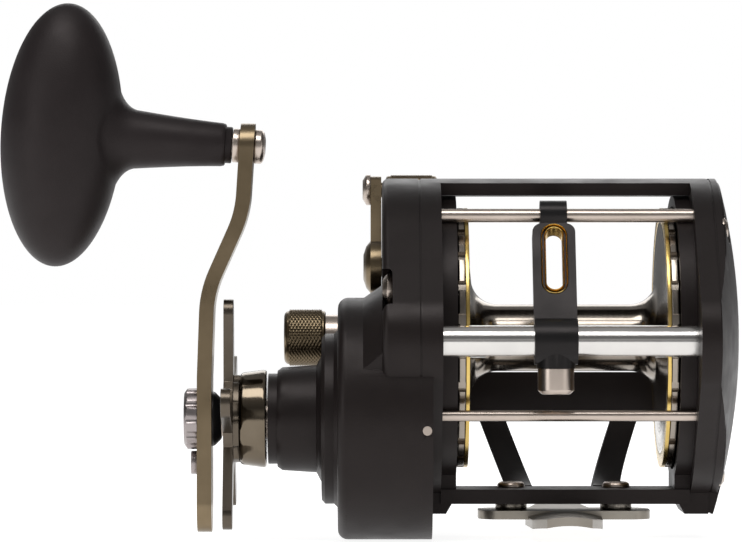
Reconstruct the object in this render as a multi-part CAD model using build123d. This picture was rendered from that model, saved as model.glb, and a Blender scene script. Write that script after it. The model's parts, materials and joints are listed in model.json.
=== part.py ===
from build123d import *
import math
import os

# Level-wind trolling reel, millimetres.
# X runs along the spool, with the handle at -X and the tail plate at +X.
# -Y is the front, where the line leaves. +Z is up, away from the rod.
# The origin is the centre of the reel foot's underside.

os.makedirs("parts", exist_ok=True)

# ---------------------------------------------------------------- driving dimensions
SPOOL_Z = 37.8                 # spool axis above the foot's underside
RING_R = 33.4                  # outer radius of the frame's side rings
RING_OPENING_R = 27.6          # hole in each side ring
BRIDGE_SEAT_R = 28.6           # counterbore that holds the bridge plate
RING_IN_X = 25.9               # inner face of both side rings
LEFT_SEAM_X = -30.3            # joint between frame and handle side plate
RIGHT_SEAM_X = 30.0            # joint between frame and tail plate
NOSE_R = 11.8                  # round nose of the plates about the level-wind tube
LIP_X = 22.7                   # inner end of the lips that shield the spool rims
LIP_R = 29.8
BAR_UNDER_R = 30.8             # underside of the top bar, from the spool axis
BLOCK_BOTTOM_Z = 1.3           # the rings' flat feet
BLOCK_WIDTH = 18.0
BLOCK_HEIGHT = 8.0
SEAM_CHAMFER = 0.25            # groove left where two plates meet
BRIDGE_OUT_X = -27.9           # outer face of the bridge plate
ROD_END_X = 28.2               # both rods end in blind holes here

GEAR_MODULE = 0.68
MAIN_TEETH = 59
PINION_TEETH = 12
GEAR_SHIFT = 0.3               # profile shift: plus on the pinion, minus on the main gear
WIND_MODULE = 0.6
WIND_DRIVE_TEETH = 52
WIND_DRIVEN_TEETH = 18
BACKLASH = 0.12

HANDLE_DROP = 16.4             # handle axis below the spool axis
TUBE_LIFT = 16.1               # level-wind tube above the handle axis
CENTRE_MAIN = GEAR_MODULE * (MAIN_TEETH + PINION_TEETH) / 2
CENTRE_WIND = WIND_MODULE * (WIND_DRIVE_TEETH + WIND_DRIVEN_TEETH) / 2
HANDLE_Y = -math.sqrt(CENTRE_MAIN ** 2 - HANDLE_DROP ** 2)
HANDLE_Z = SPOOL_Z - HANDLE_DROP
TUBE_Y = HANDLE_Y - math.sqrt(CENTRE_WIND ** 2 - TUBE_LIFT ** 2)
TUBE_Z = HANDLE_Z + TUBE_LIFT

CASE_R = 24.8                  # gear case about the handle axis
CASE_WALL = 2.4
CASE_END_X = -47.2             # outer face of the gear case
CASE_INSIDE_X = -45.0
CASE_EDGE_R = 2.0
FLARE_START_X = -42.0          # the case flares out to the upper plate from here
FLARE_R = 27.5
SPOOL_BOSS_R = 8.4             # boss on the case about the spool axis
PLATE_FACE_X = -38.1           # outer face of the upper side plate
PLATE_EDGE_R = 1.4
PLATE_INSIDE_X = -36.6
SCREW_SEAT_X = -36.0           # floor of the pockets for the side screws
STEP_R = 17.5
STEP_END_X = -50.5
BOSS_R = 11.05                 # boss that holds the one-way bearing
BOSS_END_X = -59.6
NECK_R = 9.3
NECK_END_X = -61.5
SHAFT_BEARING_R = 7.6          # bearing in the neck, from here to the neck's end
SHAFT_BEARING_X = -58.8
RACE_R = 9.0                   # one-way bearing

DOME_X = 36.4                  # crown of the tail plate
DOME_R = 127.0
TAIL_WALL = 2.2

FLANGE_R = 27.2                # spool
FLANGE_IN_X = 20.2
FLANGE_OUT_X = 22.5
ARBOR_R = 7.0
SHAFT_R = 2.0
ACCENT_WIDTH = 0.8
ACCENT_DEPTH = 1.6
RIM_NOTCHES = 24
NOTCH_WIDTH = 2.1
NOTCH_DEPTH = 1.0

UPPER_ROD = (-17.4, 25.4, 1.4)     # y, height above the spool axis, radius
LOWER_ROD = (-26.4, -15.5, 1.1)
TUBE_R = 3.25
TUBE_BORE_R = 2.35
WORM_R = 2.2
GUIDE_X = -2.9                 # line guide at rest
GUIDE_WIDTH = 8.8
EYELET_MIDDLE = 18.2           # up the guide's slope from the tube
EYELET_OUTER = (16.3, 5.5)
EYELET_OPENING = (13.6, 3.35)
PAWL_R = 1.2
PAWL_CAP_DROP = (5.4, 10.7)    # top and bottom of the pawl's cap below the tube's axis
PAWL_END_DROP = 6.0

LEVER_X = (-40.5, -38.2)       # faces of the clutch lever's arm
LEVER_Y = 6.0                  # clutch lever pivot
LEVER_Z = SPOOL_Z + 14.8
THUMB_Y = 20.0                 # thumb piece of the clutch lever
THUMB_Z = SPOOL_Z + 31.4

STAR_X = (-70.6, -68.6)        # faces of the star's arms
STAR_TURN = 98.0               # one arm of the star, in degrees from +Y towards +Z
NUT_X = (-67.4, -61.8)         # ends of the drag nut

ARM_X = -74.55                 # middle of the handle arm at the shaft
ARM_THICK = 3.0
ARM_WIDTH = 12.0
ARM_LOW_Z = -1.9
ARM_TOP_Z = 82.2
ARM_TOP_X = -65.9              # middle of the arm at the knob's spindle
ARM_BENDS = [(-74.55, 30.0), (-73.95, 47.5), (-66.77, 63.6)]   # x, z
ARM_BEND_R = 22.0
NUT_END_X = -78.8
LOCK_SCREW_R = 1.2
LOCK_SCREW_Z = HANDLE_Z - 9.0
KNOB_Z = 77.5                  # spindle height at the arm
KNOB_TILT = 3.5                # degrees the knob's axis rises outward
KNOB_LENGTH = 54.3
KNOB_THICK = 25.0
KNOB_OUT = 38.25               # arm to the middle of the knob
SPINDLE_R = 2.5

FOOT_THICK = 1.8
FOOT_WING_X = 18.0
FOOT_HALF_LENGTH = 30.0
FOOT_SCREW_X = 11.0
FOOT_SCREW_R = 1.5
PLATE_LOW_Z = 3.4              # underside of the frame's bottom plate
PLATE_TOP_Z = 6.4
PLATE_Y = (-10.0, 5.5)         # front and back edges of the bottom plate

FIT = 0.05                     # radial running clearance
GAP = 0.3                      # clearance between parts that pass each other

# screw places, as (y, height above the spool axis)
HANDLE_SIDE_SCREWS = [(-27.2, 10.15), (27.2, 10.15), (9.9, -27.3)]
TAIL_SIDE_SCREWS = [(-19.8, 22.5), (-10.2, -28.2), (29.0, 7.0)]
BRIDGE_SCREWS = [(14.0, 12.0), (16.0, -12.0), (-12.0, 20.0)]
SIDE_SCREW_R = 1.3
SCREW_POCKET_R = 4.3
TAIL_SCREW_R = 1.2
TAIL_SCREW_END_X = 27.5
BRIDGE_SCREW_R = 1.0
BRIDGE_POST_R = 2.6
CASE_SCREW = (-29.1, -42.6, 19.8)  # head of the small screw on the front of the case
CASE_SCREW_R = 0.95

# unit vector from the spool axis towards the handle axis, and the one across it
TOWARDS_HANDLE = (HANDLE_Y / CENTRE_MAIN, -HANDLE_DROP / CENTRE_MAIN)
ACROSS = (TOWARDS_HANDLE[1], -TOWARDS_HANDLE[0])
YOKE_POST_OFFSET = 11.5
YOKE_POST_R = 1.2
POST_END_X = -27.0
PINION_NECK_R = 2.9            # groove in the pinion that the yoke rides in
BUSHING_R = 3.6                # bushing at the inner end of the handle shaft
THREAD_R = 3.0                 # handle shaft, from its outer end inward
STAR_SEAT_R = 3.6
DRIVE_R = 4.0
JOURNAL_R = 2.4
NIPPLE_R = 4.8                 # spool tension nipple
LEVER_SHAFT_R = 2.0
YOKE_X = (-32.4, -31.3)        # faces of the clutch yoke, clutch closed
CLUTCH_TRAVEL = 1.8            # how far yoke and pinion slide to free the spool

nodes = {}


# ---------------------------------------------------------------- helpers
def bar(x0, x1, radius, y=0.0, z=SPOOL_Z):
    """Round bar along X between two stations."""
    return Pos((x0 + x1) / 2, y, z) * Rot(0, 90, 0) * Cylinder(radius, abs(x1 - x0))


def tube(x0, x1, outer, inner, y=0.0, z=SPOOL_Z):
    """Round tube along X between two stations."""
    return bar(x0, x1, outer, y, z) - bar(x0, x1, inner, y, z)


def slab(sketch, x0, x1):
    """Flat piece: a sketch in (y, z), thick along X from x0 to x1."""
    return extrude(Plane.YZ.offset(x0) * sketch, amount=x1 - x0)


def turned(points, y=0.0, z=SPOOL_Z):
    """Turned piece from an outline of (x, radius) points, about an axis along X."""
    outline = make_face(Polyline(*points, close=True))
    return Pos(0, y, z) * revolve(outline, Axis.X)


def disc(radius, y, z):
    return Pos(y, z) * Circle(radius)


def polar(radius, degrees):
    """Place at an angle from +Y towards +Z about the spool axis, as (y, z)."""
    turn = math.radians(degrees)
    return radius * math.cos(turn), SPOOL_Z + radius * math.sin(turn)


def hull(*circles):
    """Convex outline around circles given as (radius, y, z)."""
    edges = ShapeList()
    for radius, y, z in circles:
        edges += disc(radius, y, z).edges()
    return make_hull(edges)


def band(inner, outer, start, end):
    """Sector of a ring about the spool axis, in (y, z), from start to end degrees."""
    middle = (start + end) / 2
    outline = [
        ThreePointArc(polar(outer, start), polar(outer, middle), polar(outer, end)),
        Line(polar(outer, end), polar(inner, end)),
        ThreePointArc(polar(inner, end), polar(inner, middle), polar(inner, start)),
        Line(polar(inner, start), polar(outer, start)),
    ]
    return make_face(outline)


def fluted(outer, inner, count, y, z):
    """Outline with shallow V grooves all round, as on a knurled grip."""
    points = []
    for index in range(2 * count):
        radius = outer if index % 2 == 0 else inner
        turn = math.pi * index / count
        points.append((y + radius * math.cos(turn), z + radius * math.sin(turn)))
    return make_face(Polyline(*points, close=True))


def gear_outline(teeth, module, shift, turn_degrees, y, z):
    """Involute spur gear of 20 degrees, with a tooth centred on turn_degrees."""
    pressure = math.radians(20)
    pitch_r = module * teeth / 2
    base_r = pitch_r * math.cos(pressure)
    tip_r = pitch_r + module * (1 + shift)
    root_r = pitch_r - module * (1.25 - shift)
    half_at_pitch = (math.pi / 2 + 2 * shift * math.tan(pressure)) / teeth
    half_at_base = half_at_pitch - BACKLASH / (4 * pitch_r) + math.tan(pressure) - pressure

    def half_angle(radius):
        if radius <= base_r:
            return half_at_base
        roll = math.acos(base_r / radius)
        return half_at_base - (math.tan(roll) - roll)

    foot_r = max(base_r, root_r)
    flank = [root_r] + [foot_r + (tip_r - foot_r) * step / 3 for step in range(4)]
    if root_r >= base_r:
        flank = flank[1:]
    points = []
    for tooth in range(teeth):
        middle = math.radians(turn_degrees) + 2 * math.pi * tooth / teeth
        rising = [(radius, middle - half_angle(radius)) for radius in flank]
        falling = [(radius, middle + half_angle(radius)) for radius in reversed(flank)]
        for radius, angle in rising + falling:
            points.append((y + radius * math.cos(angle), z + radius * math.sin(angle)))
    return make_face(Polyline(*points, close=True))


def pan_screw(head_x, tip_x, head_r, shank_r, y, z):
    """Pan-head screw along X, its head's outer face at head_x, with a driver slot."""
    way = 1 if tip_x > head_x else -1
    seat_x = head_x + way * 0.6 * head_r
    rim_x = head_x + way * 0.3 * head_r
    outline = [(head_x, 0), (head_x, 0.6 * head_r), (rim_x, head_r), (seat_x, head_r)]
    outline += [(seat_x, shank_r), (tip_x, shank_r), (tip_x, 0)]
    slot = Pos(head_x, y, z) * Box(0.5 * head_r, 0.28 * head_r, 1.3 * head_r)
    return turned(outline, y, z) - slot


def plate_outline(inset=0.0):
    """Side outline of frame and covers: ring, front nose and flat foot block."""
    outline = hull((RING_R - inset, 0, SPOOL_Z), (NOSE_R - inset, TUBE_Y, TUBE_Z))
    block = Rectangle(BLOCK_WIDTH - 2 * inset, BLOCK_HEIGHT)
    return outline + Pos(0, BLOCK_BOTTOM_Z + inset + BLOCK_HEIGHT / 2) * block


def ring_of(count, radius, first_degrees):
    """Places evenly round the handle axis, as (y, z)."""
    turns = [math.radians(first_degrees + 360 * index / count) for index in range(count)]
    return [(HANDLE_Y + radius * math.cos(turn), HANDLE_Z + radius * math.sin(turn)) for turn in turns]


def screw_sites(places):
    return [(y, SPOOL_Z + height) for y, height in places]


# ---------------------------------------------------------------- frame
def make_frame():
    """One-piece frame: two side rings joined by a top bar, a rear sheet and a bottom plate."""
    left = slab(plate_outline(), LEFT_SEAM_X + SEAM_CHAMFER, -RING_IN_X)
    left += slab(plate_outline(SEAM_CHAMFER), LEFT_SEAM_X, LEFT_SEAM_X + SEAM_CHAMFER)
    left -= bar(LEFT_SEAM_X, -RING_IN_X, RING_OPENING_R)
    right = slab(plate_outline(), RING_IN_X, RIGHT_SEAM_X - SEAM_CHAMFER)
    right += slab(plate_outline(SEAM_CHAMFER), RIGHT_SEAM_X - SEAM_CHAMFER, RIGHT_SEAM_X)
    right -= bar(RING_IN_X, RIGHT_SEAM_X, RING_OPENING_R)
    backing = slab(disc(CASE_R, HANDLE_Y, HANDLE_Z) - disc(RING_R - 1, 0, SPOOL_Z), LEFT_SEAM_X, BRIDGE_OUT_X)
    lips = tube(-RING_IN_X, -LIP_X, LIP_R, RING_OPENING_R) + tube(LIP_X, RING_IN_X, LIP_R, RING_OPENING_R)

    top_bar = slab(band(BAR_UNDER_R, RING_R, 75, 105), -RING_IN_X, RING_IN_X)
    rear_top = -math.degrees(math.asin(8.4 / RING_R))
    rear = slab(band(31.5, RING_R, rear_top, -82), -RING_IN_X, RING_IN_X)
    bottom = Box(2 * RING_IN_X, PLATE_Y[1] - PLATE_Y[0], PLATE_TOP_Z - PLATE_LOW_Z)
    bottom = Pos(0, (PLATE_Y[0] + PLATE_Y[1]) / 2, (PLATE_LOW_Z + PLATE_TOP_Z) / 2) * bottom

    body = left + right + backing + lips + heels() + top_bar + (rear - rear_windows()) + bottom
    body -= bar(LEFT_SEAM_X, -RING_IN_X, BRIDGE_SEAT_R)
    for y, z, radius in rod_sites():
        body -= bar(-ROD_END_X, ROD_END_X, radius, y, z)
    body -= bar(LEFT_SEAM_X, RIGHT_SEAM_X, TUBE_R, TUBE_Y, TUBE_Z)
    for y, z in screw_sites(HANDLE_SIDE_SCREWS):
        body -= bar(LEFT_SEAM_X, -ROD_END_X, SIDE_SCREW_R, y, z)
    for y, z in screw_sites(TAIL_SIDE_SCREWS):
        body -= bar(TAIL_SCREW_END_X, RIGHT_SEAM_X, TAIL_SCREW_R, y, z)
    for x in (-FOOT_SCREW_X, FOOT_SCREW_X):
        body -= Pos(x, 0, PLATE_TOP_Z) * Cylinder(FOOT_SCREW_R, 2 * PLATE_TOP_Z)
    return body - case_screw()


def case_screw():
    """Small screw set into the front of the case, along Y."""
    length = 3.0
    x, y, z = CASE_SCREW
    return Pos(x, y + length / 2, z) * Rot(90, 0, 0) * Cylinder(CASE_SCREW_R, length)


def heels():
    """Blocks that join each lip to the bottom plate and to its ring's flat foot."""
    top_z = SPOOL_Z - RING_OPENING_R
    outline = [(RING_IN_X, top_z), (LIP_X, top_z), (LIP_X, PLATE_LOW_Z), (LIP_X + 0.9, PLATE_LOW_Z),
               (LIP_X + 2.1, BLOCK_BOTTOM_Z), (RING_IN_X, BLOCK_BOTTOM_Z)]
    face = Plane.XZ * make_face(Polyline(*outline, close=True))
    heel = extrude(face, amount=BLOCK_WIDTH / 2, both=True)
    return heel + mirror(heel, about=Plane.YZ) - bar(-RING_IN_X, RING_IN_X, RING_OPENING_R)


def rear_windows():
    """Openings through the rear sheet that leave two legs slanting in to the bottom plate."""
    top_z = 19.3
    low_z = 4.0
    depth = 40
    middle = [(-11.2, top_z), (11.2, top_z), (5.5, low_z), (-5.5, low_z)]
    right = [(16.9, top_z), (RING_IN_X, top_z), (RING_IN_X, low_z), (11.2, low_z)]
    left = [(-x, z) for x, z in right]
    windows = Part()
    for outline in (middle, right, left):
        face = Plane.XZ * make_face(Polyline(*outline, close=True))
        windows += extrude(face, amount=-depth)
    return windows


def rod_sites():
    return [(y, SPOOL_Z + height, radius) for y, height, radius in (UPPER_ROD, LOWER_ROD)]


nodes["frame"] = make_frame()
(upper_y, upper_z, upper_r), (lower_y, lower_z, lower_r) = rod_sites()
nodes["upper_guide_rod"] = bar(-ROD_END_X, ROD_END_X, upper_r, upper_y, upper_z)
nodes["lower_cross_rod"] = bar(-ROD_END_X, ROD_END_X, lower_r, lower_y, lower_z)


# ---------------------------------------------------------------- reel foot
def make_foot():
    """Stamped foot: flat wings under the frame and two arched tongues for a rod's reel seat."""
    wings = Rectangle(2 * FOOT_WING_X, 14)
    wings = fillet(wings.vertices(), 4.5)
    tongue = Polygon((-8, 0), (-7.2, 20), (-4.6, FOOT_HALF_LENGTH), (4.6, FOOT_HALF_LENGTH), (7.2, 20),
                     (8, 0), (7.2, -20), (4.6, -FOOT_HALF_LENGTH), (-4.6, -FOOT_HALF_LENGTH), (-7.2, -20),
                     align=None)
    plate = extrude(wings, amount=FOOT_THICK)
    arch_r = 24.0
    arch = Pos(0, 0, FOOT_THICK - arch_r) * Rot(90, 0, 0) * Cylinder(arch_r, 2 * FOOT_HALF_LENGTH)
    hollow = Pos(0, 0, FOOT_THICK - arch_r) * Rot(90, 0, 0) * Cylinder(arch_r - FOOT_THICK, 70)
    saddle = extrude(tongue, amount=2 * FOOT_THICK, both=True) & (arch - hollow)
    foot = plate + saddle
    for x in (-FOOT_SCREW_X, FOOT_SCREW_X):
        foot -= Pos(x, 0, 0) * Cylinder(FOOT_SCREW_R, 4 * FOOT_THICK)
    return foot


nodes["reel_foot"] = make_foot()
spacers = Part()
foot_screws = Part()
for side in (-1, 1):
    spacer = Cylinder(3.3, PLATE_LOW_Z - FOOT_THICK) - Cylinder(FOOT_SCREW_R, PLATE_LOW_Z)
    spacers += Pos(side * FOOT_SCREW_X, 0, (PLATE_LOW_Z + FOOT_THICK) / 2) * spacer
    head = Pos(0, 0, PLATE_TOP_Z + 0.6) * Cylinder(2.9, 1.2)
    head = fillet(head.edges().group_by(Axis.Z)[-1], 0.9)
    socket = extrude(Pos(0, 0, PLATE_TOP_Z + 0.3) * RegularPolygon(1.3, 6), amount=2)
    shank = Pos(0, 0, (PLATE_TOP_Z + 0.3) / 2) * Cylinder(FOOT_SCREW_R, PLATE_TOP_Z - 0.3)
    foot_screws += Pos(side * FOOT_SCREW_X, 0, 0) * (head + shank - socket)
nodes["foot_spacers"] = spacers
nodes["foot_screws"] = foot_screws


# ---------------------------------------------------------------- handle side plate
def make_handle_side_plate():
    """Cover of the handle side: thin upper plate, deep round gear case and stepped boss."""
    plate = slab(plate_outline(), PLATE_FACE_X, LEFT_SEAM_X - SEAM_CHAMFER)
    plate = fillet(plate.edges().group_by(Axis.X)[0], PLATE_EDGE_R)
    plate += slab(plate_outline(SEAM_CHAMFER), LEFT_SEAM_X - SEAM_CHAMFER, LEFT_SEAM_X)
    case = bar(CASE_END_X, LEFT_SEAM_X, CASE_R, HANDLE_Y, HANDLE_Z)
    case = fillet(case.edges().group_by(Axis.X)[0], CASE_EDGE_R)
    flare = turned([(FLARE_START_X, 0), (FLARE_START_X, CASE_R), (PLATE_FACE_X, FLARE_R), (PLATE_FACE_X, 0)],
                   HANDLE_Y, HANDLE_Z)
    flare += turned([(FLARE_START_X, 0), (FLARE_START_X, SPOOL_BOSS_R), (PLATE_FACE_X, SPOOL_BOSS_R + 1.4),
                     (PLATE_FACE_X, 0)])
    flare &= slab(plate_outline(PLATE_EDGE_R), FLARE_START_X, PLATE_FACE_X)
    spool_boss = bar(CASE_END_X, LEFT_SEAM_X, SPOOL_BOSS_R)
    spool_boss = fillet(spool_boss.edges().group_by(Axis.X)[0], CASE_EDGE_R)
    steps = [(CASE_END_X, 0), (CASE_END_X, STEP_R + 0.8), (-48.0, STEP_R), (-49.8, STEP_R),
             (STEP_END_X, STEP_R - 0.8), (STEP_END_X, 13.2), (-51.6, BOSS_R), (-58.6, 10.6),
             (BOSS_END_X, 9.9), (BOSS_END_X, NECK_R), (NECK_END_X, NECK_R), (NECK_END_X, 0)]
    body = plate + case + flare + spool_boss + turned(steps, HANDLE_Y, HANDLE_Z)

    cavity = slab(plate_outline(CASE_WALL), PLATE_INSIDE_X, LEFT_SEAM_X)
    cavity += bar(CASE_INSIDE_X, LEFT_SEAM_X, CASE_R - CASE_WALL, HANDLE_Y, HANDLE_Z)
    cavity += bar(CASE_INSIDE_X - 0.4, LEFT_SEAM_X, 6.2)
    post_r = SCREW_POCKET_R - 0.1
    for y, z in screw_sites(HANDLE_SIDE_SCREWS):
        outward = 2 * post_r if y > 0 else -2 * post_r
        cavity -= slab(hull((post_r, y, z), (post_r, y + outward, z)), PLATE_INSIDE_X, LEFT_SEAM_X)
    for y, z in screw_sites(BRIDGE_SCREWS):
        cavity -= bar(PLATE_INSIDE_X, LEFT_SEAM_X, BRIDGE_POST_R, y, z)
    body -= cavity

    for y, z in screw_sites(BRIDGE_SCREWS):
        body += bar(LEFT_SEAM_X, BRIDGE_OUT_X, BRIDGE_POST_R, y, z)
        body -= bar(-34.0, BRIDGE_OUT_X, BRIDGE_SCREW_R, y, z)
    for y, z in screw_sites(HANDLE_SIDE_SCREWS):
        body -= bar(PLATE_FACE_X, SCREW_SEAT_X, SCREW_POCKET_R, y, z)
        body -= bar(SCREW_SEAT_X, LEFT_SEAM_X, SIDE_SCREW_R, y, z)
    front_y, front_z = screw_sites(HANDLE_SIDE_SCREWS)[0]
    notch = Box(SCREW_SEAT_X - PLATE_FACE_X, 3 * SCREW_POCKET_R, 2 * SCREW_POCKET_R)
    notch = Pos((PLATE_FACE_X + SCREW_SEAT_X) / 2, front_y - 1.5 * SCREW_POCKET_R, front_z) * notch
    body -= fillet(notch.edges().filter_by(Axis.Y).group_by(Axis.X)[-1], 1.0)

    body -= bar(NECK_END_X, SHAFT_BEARING_X, SHAFT_BEARING_R, HANDLE_Y, HANDLE_Z)
    body -= bar(SHAFT_BEARING_X, CASE_INSIDE_X, RACE_R, HANDLE_Y, HANDLE_Z)
    body -= bar(CASE_END_X, CASE_INSIDE_X, NIPPLE_R)
    body -= bar(PLATE_FACE_X, PLATE_INSIDE_X, LEVER_SHAFT_R + FIT, LEVER_Y, LEVER_Z)
    for y, z in yoke_post_sites():
        body -= bar(-37.4, PLATE_INSIDE_X, YOKE_POST_R, y, z)
    return body


def yoke_post_sites():
    sites = []
    for side in (-1, 1):
        offset = side * YOKE_POST_OFFSET
        sites.append((offset * ACROSS[0], SPOOL_Z + offset * ACROSS[1]))
    return sites


nodes["handle_side_plate"] = make_handle_side_plate()
nodes["handle_side_screws"] = case_screw() + [
    pan_screw(-38.05, -ROD_END_X, 3.4, SIDE_SCREW_R, y, z) for y, z in screw_sites(HANDLE_SIDE_SCREWS)]
nodes["bridge_screws"] = Part() + [
    pan_screw(-24.6, -33.8, 2.1, BRIDGE_SCREW_R, y, z) for y, z in screw_sites(BRIDGE_SCREWS)]


# ---------------------------------------------------------------- bridge plate and clutch
def make_bridge_plate():
    """Plate inside the left ring that closes the gear train in."""
    plate = bar(BRIDGE_OUT_X, -RING_IN_X, BRIDGE_SEAT_R - FIT)
    plate -= bar(BRIDGE_OUT_X, -RING_IN_X, 5.2)
    plate -= bar(BRIDGE_OUT_X, -RING_IN_X, BUSHING_R, HANDLE_Y, HANDLE_Z)
    plate -= bar(BRIDGE_OUT_X, -RING_IN_X, TUBE_R, TUBE_Y, TUBE_Z)
    for y, z in screw_sites(BRIDGE_SCREWS):
        plate -= bar(BRIDGE_OUT_X, -RING_IN_X, BRIDGE_SCREW_R, y, z)
    for y, z in yoke_post_sites():
        plate -= bar(BRIDGE_OUT_X, POST_END_X, YOKE_POST_R, y, z)
    return plate


def make_yoke():
    """Sliding fork that carries the pinion, open towards the main gear."""
    angle = math.degrees(math.atan2(ACROSS[1], ACROSS[0]))
    fork_r = PINION_NECK_R + FIT
    outline = Pos(0, 2.0) * Rectangle(2 * YOKE_POST_OFFSET, 7.0)
    outline -= Circle(fork_r) + Pos(0, -4) * Rectangle(2 * fork_r, 8)
    for side in (-1, 1):
        outline += Pos(side * YOKE_POST_OFFSET, 0) * Circle(3.2)
        outline -= Pos(side * YOKE_POST_OFFSET, 0) * Circle(YOKE_POST_R + FIT)
    placed = Pos(0, SPOOL_Z) * Rot(0, 0, angle) * outline
    return slab(placed, YOKE_X[0], YOKE_X[1])


nodes["bridge_plate"] = make_bridge_plate()
nodes["clutch_yoke"] = make_yoke()
nodes["yoke_posts"] = Part() + [bar(-37.4, POST_END_X, YOKE_POST_R, y, z) for y, z in yoke_post_sites()]


def make_spring(x0, x1, radius, wire, turns, y, z):
    """Coil spring as a thin sleeve whose wall waves in and out once for each turn."""
    outside = []
    inside = []
    steps = 2 * turns
    for step in range(steps + 1):
        x = x0 + (x1 - x0) * step / steps
        swing = wire / 3 if step % 2 == 0 else -wire / 3
        outside.append((x, radius + wire / 2 + swing))
        inside.append((x, radius - wire / 2 + swing))
    return turned(outside + inside[::-1], y, z)


# the springs are as short as they are with the clutch open
spring_end_x = YOKE_X[0] - CLUTCH_TRAVEL - FIT
nodes["yoke_springs"] = Part() + [
    make_spring(PLATE_INSIDE_X + FIT, spring_end_x, 1.75, 0.45, 4, y, z) for y, z in yoke_post_sites()]

# ---------------------------------------------------------------- pinion
gear_angle = math.degrees(math.atan2(HANDLE_DROP, -HANDLE_Y))


def make_pinion():
    """Long pinion with a groove for the yoke and a cross slot that takes the drive pin."""
    turn = gear_angle + 180 + 180 / PINION_TEETH
    teeth = slab(gear_outline(PINION_TEETH, GEAR_MODULE, GEAR_SHIFT, turn, 0, SPOOL_Z), -42.0, -34.9)
    groove = (YOKE_X[0] - 0.1, YOKE_X[1] + 0.1)
    stem = [(-42.0, 0), (-42.0, 3.3), (-33.6, 3.3), (-33.6, 4.2), (groove[0], 4.2), (groove[0], PINION_NECK_R),
            (groove[1], PINION_NECK_R), (groove[1], 4.2), (-23.8, 4.2), (-23.8, 0)]
    body = teeth + turned(stem) - bar(-42.0, -23.8, SHAFT_R + FIT)
    slot = Pos(-24.6, 0, SPOOL_Z) * Box(1.6, 1.9, 10)
    return body - slot


nodes["pinion_gear"] = make_pinion()


# ---------------------------------------------------------------- handle shaft and gear train
def make_main_gear():
    """Cup-shaped main gear that holds the drag washers."""
    outline = gear_outline(MAIN_TEETH, GEAR_MODULE, -GEAR_SHIFT, gear_angle, HANDLE_Y, HANDLE_Z)
    gear = slab(outline, -39.5, -35.4) - bar(-39.5, -36.4, 17.0, HANDLE_Y, HANDLE_Z)
    return gear - bar(-39.5, -35.4, DRIVE_R, HANDLE_Y, HANDLE_Z)


def make_wind_gear(teeth, turn, x0, x1, bore, y, z):
    gear = slab(gear_outline(teeth, WIND_MODULE, 0.0, turn, y, z), x0, x1)
    return gear - bar(x0, x1, bore, y, z)


wind_angle = math.degrees(math.atan2(TUBE_LIFT, TUBE_Y - HANDLE_Y))
arm_out_x = ARM_X - ARM_THICK / 2
arm_in_x = ARM_X + ARM_THICK / 2
shaft_outline = [(-78.4, 0), (-78.4, THREAD_R), (arm_out_x, THREAD_R), (arm_out_x, STAR_SEAT_R), (-62.0, STAR_SEAT_R),
                 (-62.0, DRIVE_R), (-30.7, DRIVE_R), (-30.7, 4.3), (-29.4, 4.3), (-29.4, JOURNAL_R),
                 (-26.0, JOURNAL_R), (-26.0, 0)]
nodes["handle_shaft"] = turned(shaft_outline, HANDLE_Y, HANDLE_Z)
nodes["main_gear"] = make_main_gear()
drive_gear = make_wind_gear(WIND_DRIVE_TEETH, wind_angle, -32.4, -30.9, DRIVE_R, HANDLE_Y, HANDLE_Z)
for y, z in ring_of(5, 9.5, 0):
    drive_gear -= bar(-32.4, -30.9, 3.0, y, z)
nodes["level_wind_drive_gear"] = drive_gear

# drag stack, from the cup's floor outward: friction and steel washers in turn
friction = Part()
steel = Part()
stack_x = -36.4
for layer in range(5):
    thick = 0.6 if layer % 2 == 0 else 0.5
    washer = tube(stack_x - thick, stack_x, 16.4, DRIVE_R, HANDLE_Y, HANDLE_Z)
    if layer % 2 == 0:
        friction += washer
    else:
        steel += washer
    stack_x -= thick
nodes["drag_friction_washers"] = friction
nodes["drag_steel_washers"] = steel
nodes["drag_pressure_plate"] = tube(-40.4, stack_x, 13.0, DRIVE_R, HANDLE_Y, HANDLE_Z)
cups = Part()
for spring_x in (-40.4, -41.6):
    cup = [(spring_x, 8.6), (spring_x - 0.5, 8.6), (spring_x - 1.1, DRIVE_R), (spring_x - 0.6, DRIVE_R)]
    cups += turned(cup, HANDLE_Y, HANDLE_Z)
nodes["drag_spring_washers"] = cups
nodes["clutch_inner_sleeve"] = tube(-58.6, -42.8, 5.6, DRIVE_R, HANDLE_Y, HANDLE_Z)
nodes["one_way_bearing_race"] = tube(-58.4, -51.2, RACE_R, 7.2, HANDLE_Y, HANDLE_Z)
rollers = Part()
for y, z in ring_of(10, 6.42, 0):
    rollers += bar(-58.0, -51.6, 0.74, y, z)
nodes["one_way_bearing_rollers"] = rollers
nodes["handle_shaft_bearing"] = tube(-61.4, SHAFT_BEARING_X, SHAFT_BEARING_R, DRIVE_R + FIT, HANDLE_Y, HANDLE_Z)
nodes["handle_shaft_bushing"] = tube(BRIDGE_OUT_X, -RING_IN_X, BUSHING_R, JOURNAL_R + FIT, HANDLE_Y, HANDLE_Z)


# ---------------------------------------------------------------- star drag
def make_star():
    """Five-armed drag wheel with a scalloped hub."""
    outline = disc(9.4, HANDLE_Y, HANDLE_Z)
    tips = ring_of(5, 21.8, STAR_TURN)
    roots = ring_of(5, 6.0, STAR_TURN)
    for tip, root in zip(tips, roots):
        outline += hull((3.0, *tip), (4.3, *root))
    star = slab(outline, STAR_X[0], STAR_X[1])
    hub = bar(STAR_X[1], NUT_X[0], 9.0, HANDLE_Y, HANDLE_Z)
    for y, z in ring_of(6, 10.4, STAR_TURN + 11.6):
        hub -= bar(STAR_X[1], NUT_X[0], 2.6, y, z)
    return star + hub - bar(STAR_X[0], NUT_X[0], STAR_SEAT_R + FIT, HANDLE_Y, HANDLE_Z)


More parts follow.
